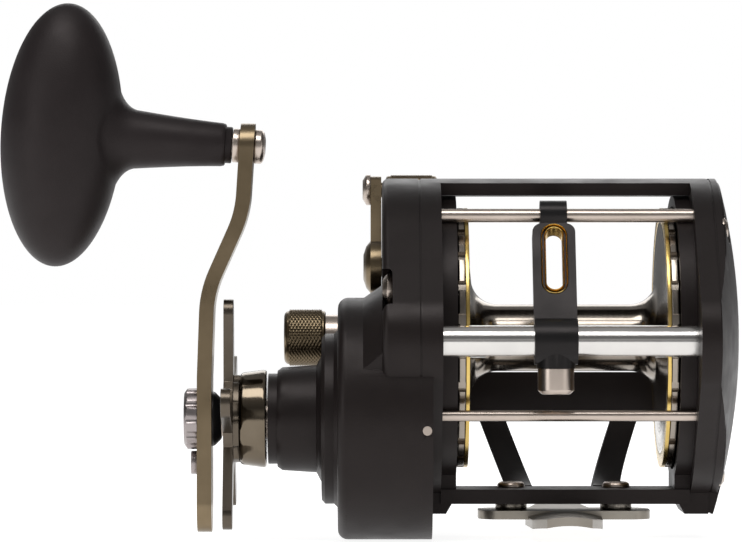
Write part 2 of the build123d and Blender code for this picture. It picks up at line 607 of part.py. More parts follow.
nodes["drag_star"] = make_star()
nut_outline = [(NUT_X[0], STAR_SEAT_R + FIT), (NUT_X[0], 8.9), (-66.8, 9.5), (-62.3, 10.1), (NUT_X[1], 9.8),
               (NUT_X[1], 5.0), (-62.3, STAR_SEAT_R + FIT)]
nodes["drag_nut"] = turned(nut_outline, HANDLE_Y, HANDLE_Z)
dome_outline = [(arm_in_x, STAR_SEAT_R), (arm_in_x, 5.7), (-72.5, 5.5), (-71.1, 4.1), (-71.1, STAR_SEAT_R)]
nodes["star_spacer_washer"] = turned(dome_outline, HANDLE_Y, HANDLE_Z)


# ---------------------------------------------------------------- handle
def make_arm():
    """Flat bar with an S bend, wide across Y, with round ends."""
    end_x = ARM_TOP_X + (ARM_TOP_Z - KNOB_Z) * math.tan(math.radians(KNOB_TILT))
    route = FilletPolyline((ARM_X, ARM_LOW_Z), *ARM_BENDS, (end_x, ARM_TOP_Z), radius=ARM_BEND_R)
    strip = Plane.XZ * trace(route, ARM_THICK)
    arm = Pos(0, HANDLE_Y, 0) * extrude(strip, amount=ARM_WIDTH, both=True)
    low_r = ARM_WIDTH / 2
    high_r = low_r - 0.8
    low = (low_r, HANDLE_Y, ARM_LOW_Z + low_r)
    high = (high_r, HANDLE_Y, ARM_TOP_Z - high_r)
    arm &= slab(hull(low, high), arm_out_x - 1, ARM_TOP_X + ARM_THICK)
    arm -= bar(arm_out_x, arm_in_x, STAR_SEAT_R, HANDLE_Y, HANDLE_Z)
    arm -= bar(arm_out_x, arm_in_x, LOCK_SCREW_R, HANDLE_Y, LOCK_SCREW_Z)
    return arm - spindle_bar(-ARM_THICK, ARM_THICK, SPINDLE_R)


spindle_place = Pos(ARM_TOP_X, HANDLE_Y, KNOB_Z) * Rot(0, KNOB_TILT, 0)


def spindle_bar(start, end, radius):
    """Bar on the knob's tilted axis, between distances measured outward from the arm."""
    return spindle_place * Pos(-(start + end) / 2, 0, 0) * Rot(0, 90, 0) * Cylinder(radius, end - start)


def make_knob():
    """Oval grip across the end of a tapering neck, bored for its spindle."""
    rim = EllipticalCenterArc((0, 0), KNOB_THICK / 2, KNOB_LENGTH / 2, start_angle=-88, arc_size=176)
    low = rim @ 0
    high = rim @ 1
    axis_side = Polyline(high, (0, high.Y), (0, low.Y), low)     # a tiny flat at each pole
    half = make_face([rim] + axis_side.edges())
    grip = Pos(-KNOB_OUT, 0, 0) * Rot(90, 0, 0) * revolve(half, Axis.Y)
    neck_points = [(-3.1, 0), (-3.1, 3.75), (-4.4, 3.75), (-4.4, 4.2), (-5.2, 4.6), (-24.0, 6.1), (-28.0, 8.0),
                   (-30.0, 11.0), (-31.0, 0)]
    neck = revolve(make_face(Polyline(*neck_points, close=True)), Axis.X)
    return spindle_place * (grip + neck) - spindle_bar(0, KNOB_OUT + 1.2, SPINDLE_R + FIT)


nodes["handle_arm"] = make_arm()
nodes["handle_knob"] = make_knob()
spindle_head = [(0, 0), (1.55, 0), (1.55, 3.5), (3.0, 3.5), (3.4, 3.1), (3.8, 1.6), (3.8, 0)]
rivet = revolve(make_face(Polyline(*spindle_head, close=True)), Axis.X)
nodes["knob_spindle"] = spindle_bar(-1.6, KNOB_OUT + 0.7, SPINDLE_R) + spindle_place * rivet
nodes["knob_washer"] = spindle_bar(1.55, 2.95, 3.5) - spindle_bar(1.55, 2.95, SPINDLE_R)

nut = turned([(NUT_END_X, 0), (NUT_END_X, 5.3), (NUT_END_X + 0.7, 6.3), (arm_out_x, 6.3), (arm_out_x, 0)],
             HANDLE_Y, HANDLE_Z)
for y, z in ring_of(12, 6.9, 0):
    nut -= bar(NUT_END_X, arm_out_x, 1.0, y, z)
nodes["handle_nut"] = nut - bar(NUT_END_X, arm_out_x, THREAD_R, HANDLE_Y, HANDLE_Z)
lock = hull((2.4, HANDLE_Y, LOCK_SCREW_Z), (1.6, HANDLE_Y, LOCK_SCREW_Z + 0.7))
lock_shank = bar(arm_out_x, arm_in_x, LOCK_SCREW_R, HANDLE_Y, LOCK_SCREW_Z)
nodes["nut_lock_screw"] = slab(lock, -77.4, arm_out_x) + lock_shank

# ---------------------------------------------------------------- cast control
nodes["spool_tension_nipple"] = tube(-54.0, CASE_INSIDE_X, NIPPLE_R, 3.5)
grip = slab(fluted(6.0, 5.7, 36, 0, SPOOL_Z), -57.9, -50.6)
grip += turned([(-58.6, 0), (-58.6, 4.9), (-57.9, 5.7), (-57.9, 0)])
grip += turned([(-50.6, 0), (-50.6, 5.7), (-49.9, 5.5), (-49.9, 0)])
nodes["spool_tension_knob"] = grip - bar(-55.4, -49.9, NIPPLE_R + FIT)
nodes["spool_bearing_handle_side"] = tube(-48.4, -45.8, 3.5, SHAFT_R + FIT)


# ---------------------------------------------------------------- clutch lever
def make_lever():
    """Lever arm on the outside of the plate, with its shaft and cam arm inside."""
    arm = slab(hull((4.4, LEVER_Y, LEVER_Z), (2.9, THUMB_Y, THUMB_Z)), LEVER_X[0], LEVER_X[1])
    hub = turned([(-42.0, 0), (-42.0, 2.6), (-41.4, 4.4), (LEVER_X[0], 5.5), (LEVER_X[1], 5.5), (LEVER_X[1], 0)],
                 LEVER_Y, LEVER_Z)
    shaft = bar(LEVER_X[1], -29.6, LEVER_SHAFT_R, LEVER_Y, LEVER_Z)
    cam = slab(hull((3.0, LEVER_Y, LEVER_Z), (1.8, -4.5, SPOOL_Z + 10.5)), -30.9, -29.6)
    thumb_seat = bar(LEVER_X[1], -26.6, 1.6, THUMB_Y, THUMB_Z)
    return arm + hub + shaft + cam + thumb_seat


nodes["clutch_lever"] = make_lever()
thumb = slab(fluted(3.25, 3.05, 24, THUMB_Y, THUMB_Z), -37.2, -26.3)
nodes["lever_thumb_piece"] = thumb - bar(-37.2, -26.6, 1.6, THUMB_Y, THUMB_Z)
nodes["lever_thumb_screw"] = turned(
    [(-42.2, 0), (-42.2, 2.0), (-41.4, 3.3), (LEVER_X[0], 3.3), (LEVER_X[0], 0)], THUMB_Y, THUMB_Z)


# ---------------------------------------------------------------- spool
def make_spool():
    """Spool turned from bar: arbor, curved flange faces and thick rims with recessed ends."""
    side = [(13.9, ARBOR_R), (16.6, 7.8), (18.6, 9.9), (19.3, 12.3), (20.0, 17.7), (FLANGE_IN_X, 24.0),
            (FLANGE_IN_X, FLANGE_R), (FLANGE_OUT_X, FLANGE_R), (FLANGE_OUT_X, 24.6), (21.6, 23.8),
            (21.4, 9.5), (22.9, 8.6), (22.9, SHAFT_R)]
    outline = side + [(-x, radius) for x, radius in reversed(side)]
    body = turned(outline)
    for way in (-1, 1):
        body -= accent_ring(way)
        body -= tube(way * 22.9, way * 9.0, 5.8, 3.4)
        body -= rim_notches(way)
    return body


def rim_notches(way):
    """Even notches round the outside of a rim, beside its coloured ring."""
    start = way * (FLANGE_IN_X + ACCENT_WIDTH)
    end = way * FLANGE_OUT_X
    notch = Pos((start + end) / 2, FLANGE_R, 0) * Box(abs(end - start), 2 * NOTCH_DEPTH, NOTCH_WIDTH)
    turns = [360 * (index + 0.4) / RIM_NOTCHES for index in range(RIM_NOTCHES)]
    return Pos(0, 0, SPOOL_Z) * Part([Rot(turn, 0, 0) * notch for turn in turns])


def accent_ring(way):
    """Coloured ring set into the inner edge of a spool rim."""
    inner = way * FLANGE_IN_X
    return tube(inner, inner + way * ACCENT_WIDTH, FLANGE_R, FLANGE_R - ACCENT_DEPTH)


nodes["spool"] = make_spool()
nodes["spool_accent_rings"] = Part() + [accent_ring(-1), accent_ring(1)]
nodes["spool_shaft"] = bar(-54.2, 31.4, SHAFT_R) - Pos(-24.6, 0, SPOOL_Z) * Cylinder(0.7, 8)
nodes["spool_drive_pin"] = Pos(-24.6, 0, SPOOL_Z) * Cylinder(0.7, 7.8)
nodes["click_ratchet"] = slab(fluted(5.6, 4.7, 24, 0, SPOOL_Z), 22.9, 24.0) - bar(22.9, 24.0, SHAFT_R)


# ---------------------------------------------------------------- tail plate
def make_tail_plate():
    """Domed cover of the tail side, with the spool's bearing seat and the click slot."""
    crown = Pos(DOME_X - DOME_R, 0, SPOOL_Z) * Sphere(DOME_R)
    inside = Pos(DOME_X - DOME_R, 0, SPOOL_Z) * Sphere(DOME_R - TAIL_WALL)
    rim = slab(plate_outline(SEAM_CHAMFER), RIGHT_SEAM_X, RIGHT_SEAM_X + SEAM_CHAMFER)
    rim += slab(plate_outline(), RIGHT_SEAM_X + SEAM_CHAMFER, 31.6)
    body = (rim + slab(plate_outline(0.8), 31.6, DOME_X + 1)) & crown
    cavity = slab(plate_outline(CASE_WALL), RIGHT_SEAM_X, DOME_X + 1) & inside
    for y, z in screw_sites(TAIL_SIDE_SCREWS):
        cavity -= bar(RIGHT_SEAM_X, DOME_X, 3.6, y, z)
    cavity -= bar(RIGHT_SEAM_X, DOME_X, 7.0)
    cavity -= Pos(33.0, 0, SPOOL_Z - 14.0) * Box(3.2, 13, 12)
    body -= cavity
    body += bar(26.8, RIGHT_SEAM_X, 7.0)
    body -= bar(26.8, 32.6, 5.0)
    for y, z in screw_sites(TAIL_SIDE_SCREWS):
        body -= bar(31.4, DOME_X, 2.9, y, z)
        body -= bar(RIGHT_SEAM_X, 31.4, TAIL_SCREW_R, y, z)
    body -= Pos(34.9, 0, SPOOL_Z - 14.0) * Box(3.0, 9.6, 9.8)
    body -= Pos(33.0, 0, SPOOL_Z - 14.0) * Box(5.0, 2.8, 6.8)
    return body


nodes["tail_plate"] = make_tail_plate()
nodes["tail_plate_screws"] = Part() + [
    pan_screw(32.9, TAIL_SCREW_END_X, 2.5, TAIL_SCREW_R, y, z) for y, z in screw_sites(TAIL_SIDE_SCREWS)]
nodes["spool_bearing_tail_side"] = tube(27.4, 30.4, 5.0, SHAFT_R + FIT)
nodes["spool_end_discs"] = Part() + [bar(-55.3, -54.5, 4.0), bar(31.6, 32.6, 4.6)]


# ---------------------------------------------------------------- click
def make_click_slider():
    """Slider with its grip outside the plate and its tongue beside the ratchet."""
    rest_z = SPOOL_Z - 16.0
    grip_block = Pos(34.35, 0, rest_z) * Box(1.7, 8.4, 4.6)
    for ridge in (-1.3, 0, 1.3):
        grip_block -= Pos(35.2, 0, rest_z + ridge) * Box(0.5, 9, 0.5)
    stem = Pos(28.9, 0, rest_z) * Box(9.4, 2.2, 2.2)
    tongue = [(-1.4, rest_z - 1.1), (1.4, rest_z - 1.1), (1.4, rest_z + 3.0), (0.3, SPOOL_Z - 9.9),
              (-0.3, SPOOL_Z - 9.9), (-1.4, rest_z + 3.0)]
    tongue = slab(make_face(Polyline(*tongue, close=True)), 23.1, 24.2)
    return grip_block + stem + tongue


nodes["click_slider"] = make_click_slider()
spring_z = SPOOL_Z - 16.0
click_spring = Pos(30.6, 0, spring_z - 2.3) * Box(0.4, 9.8, 1.6)
for side in (-4.7, 4.7):
    click_spring += Pos(30.9, side, spring_z - 2.3) * Box(1.0, 0.4, 1.6)
nodes["click_spring"] = click_spring

# ---------------------------------------------------------------- level wind
slot = Pos(0, TUBE_Y, TUBE_Z - TUBE_R) * Box(34.5, 2.9, 2 * TUBE_R - 1.5)
nodes["level_wind_tube"] = tube(-27.4, 27.4, TUBE_R, TUBE_BORE_R, TUBE_Y, TUBE_Z) - slot
nodes["worm_bushings"] = Part() + [
    tube(-29.4, -27.4, TUBE_R, WORM_R + FIT, TUBE_Y, TUBE_Z),
    tube(27.4, 29.4, TUBE_R, WORM_R + FIT, TUBE_Y, TUBE_Z)]
nodes["worm_shaft"] = bar(-33.2, 29.6, WORM_R, TUBE_Y, TUBE_Z)
worm_turn = wind_angle + 180 + 180 / WIND_DRIVEN_TEETH
nodes["worm_gear"] = make_wind_gear(WIND_DRIVEN_TEETH, worm_turn, -32.4, -30.9, WORM_R, TUBE_Y, TUBE_Z)

# the line guide leans back from the tube to the upper rod
lean_y = upper_y - TUBE_Y
lean_z = upper_z - TUBE_Z
lean_length = math.hypot(lean_y, lean_z)
guide_plane = Plane(
    origin=(GUIDE_X, TUBE_Y, TUBE_Z),
    x_dir=(1, 0, 0),
    z_dir=(0, -lean_z / lean_length, lean_y / lean_length))


def guide_slab(sketch, back, front):
    """Piece of the line guide: a sketch in the leaning plane, between two depths."""
    return extrude(guide_plane.offset(back) * sketch, amount=front - back)


def eyelet_slot(size):
    return Pos(0, EYELET_MIDDLE) * SlotOverall(size[0], size[1], rotation=90)


def make_guide_carriage():
    """Carriage: barrel round the tube, leaning plate with the eyelet, hook over the upper rod."""
    half = GUIDE_WIDTH / 2
    plate = Pos(0, 13.0) * Rectangle(GUIDE_WIDTH, 27.0)
    plate = fillet(plate.vertices().group_by(Axis.Y)[-1], 2.0)
    body = guide_slab(plate, -1.3, 1.7)
    body += bar(GUIDE_X - half, GUIDE_X + half, 4.7, TUBE_Y, TUBE_Z)
    body += Pos(GUIDE_X, TUBE_Y, TUBE_Z - PAWL_CAP_DROP[0] / 2) * Cylinder(4.0, PAWL_CAP_DROP[0])
    body += guide_slab(Pos(0, 28.4) * Rectangle(5.5, 5.0), -1.3, 1.7)
    body += bar(GUIDE_X - 2.75, GUIDE_X + 2.75, 3.1, upper_y, upper_z)
    body -= bar(GUIDE_X - half, GUIDE_X + half, TUBE_R + GAP, TUBE_Y, TUBE_Z)
    body -= bar(GUIDE_X - half, GUIDE_X + half, upper_r + GAP, upper_y, upper_z)
    body -= guide_slab(eyelet_slot(EYELET_OUTER), -2.0, 2.5)
    body -= Pos(GUIDE_X, TUBE_Y, TUBE_Z - PAWL_END_DROP / 2) * Cylinder(PAWL_R, PAWL_END_DROP)
    return body


nodes["line_guide_carriage"] = make_guide_carriage()
nodes["line_guide_eyelet"] = guide_slab(eyelet_slot(EYELET_OUTER) - eyelet_slot(EYELET_OPENING), -1.7, 2.3)
pawl_tip = WORM_R + 0.15       # below the tube's axis
pawl_length = PAWL_END_DROP - pawl_tip
nodes["level_wind_pawl"] = Pos(GUIDE_X, TUBE_Y, TUBE_Z - pawl_tip - pawl_length / 2) * Cylinder(PAWL_R, pawl_length)
cap_top, cap_bottom = PAWL_CAP_DROP
cap = Pos(GUIDE_X, TUBE_Y, TUBE_Z - (cap_top + cap_bottom) / 2) * Cylinder(3.7, cap_bottom - cap_top)
cap = chamfer(cap.edges().group_by(Axis.Z)[0], 0.8)
socket_depth = PAWL_END_DROP - cap_top
nodes["pawl_cap"] = cap - Pos(GUIDE_X, TUBE_Y, TUBE_Z - cap_top - socket_depth / 2) * Cylinder(PAWL_R, socket_depth)

# ---------------------------------------------------------------- export
for name, shape in nodes.items():
    export_step(shape, "parts/" + name + ".step")
print(len(nodes), "nodes")
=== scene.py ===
import json
import math

import bmesh
import bpy
from mathutils import Matrix, Vector


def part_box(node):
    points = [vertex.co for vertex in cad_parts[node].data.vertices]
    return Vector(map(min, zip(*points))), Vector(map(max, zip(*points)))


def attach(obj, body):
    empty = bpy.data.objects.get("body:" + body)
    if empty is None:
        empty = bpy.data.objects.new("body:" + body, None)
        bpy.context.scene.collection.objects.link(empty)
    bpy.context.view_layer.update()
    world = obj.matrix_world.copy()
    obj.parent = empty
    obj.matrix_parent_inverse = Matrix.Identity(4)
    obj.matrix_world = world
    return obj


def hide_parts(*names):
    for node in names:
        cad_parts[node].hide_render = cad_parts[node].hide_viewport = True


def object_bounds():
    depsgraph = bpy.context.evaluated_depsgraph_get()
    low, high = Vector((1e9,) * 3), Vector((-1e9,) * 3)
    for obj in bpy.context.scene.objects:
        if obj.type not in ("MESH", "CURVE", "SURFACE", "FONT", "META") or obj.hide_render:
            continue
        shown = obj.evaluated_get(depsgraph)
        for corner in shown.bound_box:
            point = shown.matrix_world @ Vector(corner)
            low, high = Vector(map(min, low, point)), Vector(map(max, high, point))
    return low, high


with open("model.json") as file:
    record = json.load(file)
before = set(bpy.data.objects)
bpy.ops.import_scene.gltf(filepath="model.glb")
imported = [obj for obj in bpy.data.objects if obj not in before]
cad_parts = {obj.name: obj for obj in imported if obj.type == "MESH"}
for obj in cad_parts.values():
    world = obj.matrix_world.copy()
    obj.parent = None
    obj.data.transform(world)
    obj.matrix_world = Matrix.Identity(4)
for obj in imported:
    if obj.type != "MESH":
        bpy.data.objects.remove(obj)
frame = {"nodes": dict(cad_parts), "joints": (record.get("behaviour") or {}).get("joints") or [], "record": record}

MM = 0.001
X_AXIS = Vector((1, 0, 0))
record = frame["record"]
cad_low, cad_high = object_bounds()
NODE_SLOT = {part["node"]: part["material_slot"] for part in record["subparts"]}
JOINTS = {joint["name"]: joint for joint in frame["joints"]}
BODY_OF = {node: body for body, nodes in record["behaviour"]["bodies"].items() for node in nodes}
SPOOL_AXIS = Vector(JOINTS["spool_spin"]["pos_m"])
HANDLE_AXIS = Vector(JOINTS["handle_crank"]["pos_m"])
TUBE_AXIS = Vector(JOINTS["worm_spin"]["pos_m"])


# ---------------------------------------------------------------- materials
SPECULAR_LEVEL = 0.22
WARM_GLOSS = (1.0, 0.90, 0.88, 1.0)
NOISE_SPAN = (0.3, 0.7)
# heights of fine relief, in metres
GRAIN_HEIGHT = 0.0001
BRUSHED_HEIGHT = 0.00005
TURNED_HEIGHT = 0.00004


def new_material(name, color, metallic, roughness):
    """Principled material, with its nodes, links, shader and object coordinates."""
    material = bpy.data.materials.new(name)
    material.use_nodes = True
    nodes = material.node_tree.nodes
    shader = nodes["Principled BSDF"]
    shader.inputs["Base Color"].default_value = (*color, 1.0)
    shader.inputs["Metallic"].default_value = metallic
    shader.inputs["Roughness"].default_value = roughness
    shader.inputs["Specular IOR Level"].default_value = SPECULAR_LEVEL
    place = nodes.new("ShaderNodeTexCoord")
    return material, nodes, material.node_tree.links, shader, place.outputs["Object"]


def math_node(nodes, links, operation, *values):
    """Output of a math node whose inputs are numbers or other nodes' outputs."""
    node = nodes.new("ShaderNodeMath")
    node.operation = operation
    for socket, value in zip(node.inputs, values):
        if isinstance(value, (int, float)):
            socket.default_value = value
        else:
            links.new(value, socket)
    return node.outputs[0]


def noise(nodes, links, vector, scale, detail, stretch=(1, 1, 1)):
    """Noise factor over the object's own coordinates, optionally stretched."""
    mapping = nodes.new("ShaderNodeMapping")
    mapping.inputs["Scale"].default_value = stretch
    links.new(vector, mapping.inputs["Vector"])
    texture = nodes.new("ShaderNodeTexNoise")
    texture.inputs["Scale"].default_value = scale
    texture.inputs["Detail"].default_value = detail
    links.new(mapping.outputs["Vector"], texture.inputs["Vector"])
    return texture.outputs["Fac"]


def spread(nodes, links, factor, low, high, span=NOISE_SPAN):
    """Factor remapped from a span, by default the noise's usual one, to low..high."""
    remap = nodes.new("ShaderNodeMapRange")
    limits = {"From Min": span[0], "From Max": span[1], "To Min": low, "To Max": high}
    for name, limit in limits.items():
        remap.inputs[name].default_value = limit
    links.new(factor, remap.inputs["Value"])
    return remap.outputs["Result"]


def add_bump(nodes, links, shader, height, strength, distance):
    """Fine relief in a material, from a height."""
    bump = nodes.new("ShaderNodeBump")
    bump.inputs["Strength"].default_value = strength
    bump.inputs["Distance"].default_value = distance
    links.new(height, bump.inputs["Height"])
    links.new(bump.outputs["Normal"], shader.inputs["Normal"])


def tint(nodes, links, shader, factor, dark, light):
    """Base colour that drifts between two shades."""
    ramp = nodes.new("ShaderNodeMix")
    ramp.data_type = "RGBA"
    ramp.inputs["A"].default_value = (*dark, 1.0)
    ramp.inputs["B"].default_value = (*light, 1.0)
    links.new(factor, ramp.inputs["Factor"])
    links.new(ramp.outputs["Result"], shader.inputs["Base Color"])


def moulded_material(name, dark, light, rough, grain_scale, grain):
    """Moulded or coated: faint mottling, uneven gloss and a fine grain."""
    material, nodes, links, shader, place = new_material(name, dark, 0.0, rough[0])
    shader.inputs["Specular Tint"].default_value = WARM_GLOSS
    mottling = noise(nodes, links, place, scale=70.0, detail=4.0)
    patches = noise(nodes, links, place, scale=160.0, detail=5.0)
    relief = noise(nodes, links, place, grain_scale, detail=2.0)
    tint(nodes, links, shader, spread(nodes, links, mottling, 0.0, 1.0), dark, light)
    links.new(spread(nodes, links, patches, *rough), shader.inputs["Roughness"])
    add_bump(nodes, links, shader, relief, grain, GRAIN_HEIGHT)
    return material


def brushed_material(name, dark, light, rough, stretch, strength):
    """Metal with fine lines along one direction and slight handling marks."""
    material, nodes, links, shader, place = new_material(name, light, 1.0, rough[0])
    lines = noise(nodes, links, place, scale=900.0, detail=4.0, stretch=stretch)
    marks = noise(nodes, links, place, scale=110.0, detail=6.0)
    both = math_node(nodes, links, "MULTIPLY_ADD", lines, 0.6, marks)
    tint(nodes, links, shader, spread(nodes, links, marks, 0.0, 1.0), dark, light)
    links.new(spread(nodes, links, both, *rough), shader.inputs["Roughness"])
    add_bump(nodes, links, shader, lines, strength, BRUSHED_HEIGHT)
    return material


def turned_material(name, dark, light, rough, axis, line_scale, strength):
    """Lathe-turned metal: fine rings about an axis along X, from radius and X position."""
    material, nodes, links, shader, place = new_material(name, light, 1.0, rough[0])
    split = nodes.new("ShaderNodeSeparateXYZ")
    links.new(place, split.inputs["Vector"])
    off_y = math_node(nodes, links, "SUBTRACT", split.outputs["Y"], axis.y)
    off_z = math_node(nodes, links, "SUBTRACT", split.outputs["Z"], axis.z)
    squares = math_node(nodes, links, "ADD",
                        math_node(nodes, links, "MULTIPLY", off_y, off_y),
                        math_node(nodes, links, "MULTIPLY", off_z, off_z))
    radius = math_node(nodes, links, "SQRT", squares)
    join = nodes.new("ShaderNodeCombineXYZ")
    links.new(radius, join.inputs["X"])
    links.new(split.outputs["X"], join.inputs["Y"])
    rings = noise(nodes, links, join.outputs["Vector"], line_scale, detail=3.0)
    marks = noise(nodes, links, place, scale=90.0, detail=5.0)
    tint(nodes, links, shader, spread(nodes, links, marks, 0.0, 1.0), dark, light)
    links.new(spread(nodes, links, rings, *rough), shader.inputs["Roughness"])
    add_bump(nodes, links, shader, rings, strength, TURNED_HEIGHT)
    return material


MATERIALS = {
    "black_body": moulded_material(
        "black_composite", dark=(0.0068, 0.0048, 0.0046), light=(0.0102, 0.0078, 0.0074),
        rough=(0.36, 0.48), grain_scale=2600.0, grain=0.18),
    "guide_black": moulded_material(
        "satin_black_coating", dark=(0.006, 0.006, 0.0062), light=(0.010, 0.010, 0.0105),
        rough=(0.28, 0.40), grain_scale=4200.0, grain=0.10),
    "grip_rubber": moulded_material(
        "soft_touch_rubber", dark=(0.0115, 0.0088, 0.0091), light=(0.0165, 0.0132, 0.0135),
        rough=(0.42, 0.54), grain_scale=3200.0, grain=0.30),
    "friction": moulded_material(
        "carbon_friction", dark=(0.02, 0.02, 0.02), light=(0.05, 0.05, 0.05),
        rough=(0.55, 0.75), grain_scale=1800.0, grain=0.5),
    "acetal": moulded_material(
        "natural_acetal", dark=(0.62, 0.60, 0.54), light=(0.70, 0.68, 0.62),
        rough=(0.35, 0.45), grain_scale=2500.0, grain=0.1),
    "gunmetal": brushed_material(
        "gunmetal_anodised", dark=(0.165, 0.125, 0.076), light=(0.225, 0.172, 0.108),
        rough=(0.20, 0.30), stretch=(1, 1, 0.06), strength=0.12),
    "stainless": brushed_material(
        "stainless_steel", dark=(0.43, 0.365, 0.315), light=(0.52, 0.445, 0.39),
        rough=(0.18, 0.28), stretch=(0.05, 1, 1), strength=0.10),
    "bright_tube": brushed_material(
        "bright_aluminium", dark=(0.61, 0.59, 0.57), light=(0.68, 0.66, 0.635),
        rough=(0.10, 0.17), stretch=(0.04, 1, 1), strength=0.05),
    "dark_gunmetal": brushed_material(
        "dark_gunmetal", dark=(0.085, 0.070, 0.054), light=(0.125, 0.104, 0.082),
        rough=(0.20, 0.30), stretch=(1, 0.06, 1), strength=0.12),
    "foot_steel": brushed_material(
        "foot_steel", dark=(0.26, 0.235, 0.20), light=(0.34, 0.31, 0.27),
        rough=(0.22, 0.32), stretch=(0.05, 1, 1), strength=0.10),
    "dark_steel": brushed_material(
        "darkened_steel", dark=(0.26, 0.23, 0.225), light=(0.36, 0.32, 0.315),
        rough=(0.22, 0.32), stretch=(0.05, 1, 1), strength=0.10),
    "gold": brushed_material(
        "gold_finish", dark=(0.62, 0.43, 0.13), light=(0.72, 0.52, 0.18),
        rough=(0.16, 0.24), stretch=(1, 1, 1), strength=0.05),
    "gear_brass": brushed_material(
        "machined_brass", dark=(0.62, 0.44, 0.18), light=(0.72, 0.53, 0.25),
        rough=(0.22, 0.32), stretch=(1, 1, 1), strength=0.1),
    "gear_steel": brushed_material(
        "machined_steel", dark=(0.46, 0.45, 0.43), light=(0.55, 0.54, 0.52),
        rough=(0.20, 0.30), stretch=(0.05, 1, 1), strength=0.1),
    "bearing_steel": brushed_material(
        "bearing_steel", dark=(0.62, 0.62, 0.61), light=(0.70, 0.70, 0.69),
        rough=(0.12, 0.2), stretch=(1, 1, 1), strength=0.05),
    "spool_metal": turned_material(
        "dark_turned_aluminium", dark=(0.255, 0.222, 0.190), light=(0.345, 0.305, 0.262),
        rough=(0.13, 0.22), axis=SPOOL_AXIS, line_scale=2600.0, strength=0.10),
    "hub_metal": turned_material(
        "gunmetal_turned", dark=(0.125, 0.100, 0.072), light=(0.170, 0.140, 0.104),
        rough=(0.10, 0.17), axis=HANDLE_AXIS, line_scale=2400.0, strength=0.08),
}


def dress(piece, material):
    """Give a piece one material for all its faces."""
    piece.data.materials.clear()
    piece.data.materials.append(material)


for node_name, cad_object in frame["nodes"].items():
    for material_slot in cad_object.material_slots:
        material_slot.material = MATERIALS[NODE_SLOT[node_name]]


# ---------------------------------------------------------------- mesh helpers
BEVEL_FROM_DEGREES = 32.0
BEVEL_SEGMENTS = 2
BEVEL_SHARP_DEGREES = 38.0
FLAT_WEIGHT = 80
WELD_DISTANCE = 2e-6
FLAT_DEGREES = 0.05


def sharpen(mesh, degrees):
    """Smooth shading, with edges over an angle kept sharp."""
    work = bmesh.new()
    work.from_mesh(mesh)
    for face in work.faces:
        face.smooth = True
    for edge in work.edges:
        if len(edge.link_faces) == 2:
            edge.smooth = edge.calc_face_angle(0.0) < math.radians(degrees)
    work.to_mesh(mesh)
    work.free()


def applied(piece):
    """Bake a piece's modifiers into its mesh."""
    graph = bpy.context.evaluated_depsgraph_get()
    graph.update()
    done = bpy.data.meshes.new_from_object(
        piece.evaluated_get(graph), preserve_all_data_layers=True, depsgraph=graph)
    piece.modifiers.clear()
    piece.data = done


def bevelled(piece, width):
    """Round a piece's edges in its geometry, and keep its flats shaded flat."""
    bevel = piece.modifiers.new("edges", "BEVEL")
    bevel.width = width
    bevel.segments = BEVEL_SEGMENTS
    bevel.limit_method = "ANGLE"
    bevel.angle_limit = math.radians(BEVEL_FROM_DEGREES)
    bevel.use_clamp_overlap = True
    bevel.miter_outer = "MITER_ARC"
    applied(piece)
    sharpen(piece.data, BEVEL_SHARP_DEGREES)
    weighted = piece.modifiers.new("normals", "WEIGHTED_NORMAL")
    weighted.keep_sharp = True
    weighted.weight = FLAT_WEIGHT
    applied(piece)


def add_piece(name, mesh, node, material=None):
    """Put a mesh in the scene in place of a CAD node, on that node's body.

    It wears the material of the node's slot unless another is given."""
    piece = bpy.data.objects.new(name, mesh)
    bpy.context.scene.collection.objects.link(piece)
    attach(piece, BODY_OF[node])
    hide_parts(node)
    dress(piece, material or MATERIALS[NODE_SLOT[node]])
    return piece


def refined(node, width, material):
    """A node's own shape with its edges rounded."""
    work = bmesh.new()
    work.from_mesh(frame["nodes"][node].data)
    bmesh.ops.remove_doubles(work, verts=work.verts, dist=WELD_DISTANCE)
    bmesh.ops.dissolve_limit(
        work, angle_limit=math.radians(FLAT_DEGREES), verts=work.verts, edges=work.edges)
    mesh = bpy.data.meshes.new(node + "_fine")
    work.to_mesh(mesh)
    work.free()
    bevelled(add_piece(node + "_fine", mesh, node, material), width)


# widths of rounded edges, in millimetres
REFINED_EDGES = {
    "frame": 0.12,
    "handle_side_plate": 0.12,
    "tail_plate": 0.12,
    "reel_foot": 0.25,
    "foot_spacers": 0.2,
    "handle_arm": 0.55,
    "drag_star": 0.4,
    "handle_nut": 0.2,
    "drag_nut": 0.3,
    "star_spacer_washer": 0.2,
    "clutch_lever": 0.3,
    "line_guide_carriage": 0.3,
    "lever_thumb_screw": 0.2,
    "handle_side_screws": 0.25,
    "tail_plate_screws": 0.2,
    "foot_screws": 0.12,
    "pawl_cap": 0.15,
    "knob_washer": 0.25,
    "nut_lock_screw": 0.2,
}
# nodes whose finish differs from the rest of their slot
OWN_MATERIALS = {
    "handle_nut": "dark_steel",
    "nut_lock_screw": "dark_steel",
    "drag_nut": "hub_metal",
    "drag_star": "dark_gunmetal",
    "reel_foot": "foot_steel",
    "foot_spacers": "foot_steel",
}
for node_name, edge_width in REFINED_EDGES.items():
    refined(node_name, edge_width * MM, MATERIALS[OWN_MATERIALS.get(node_name, NODE_SLOT[node_name])])


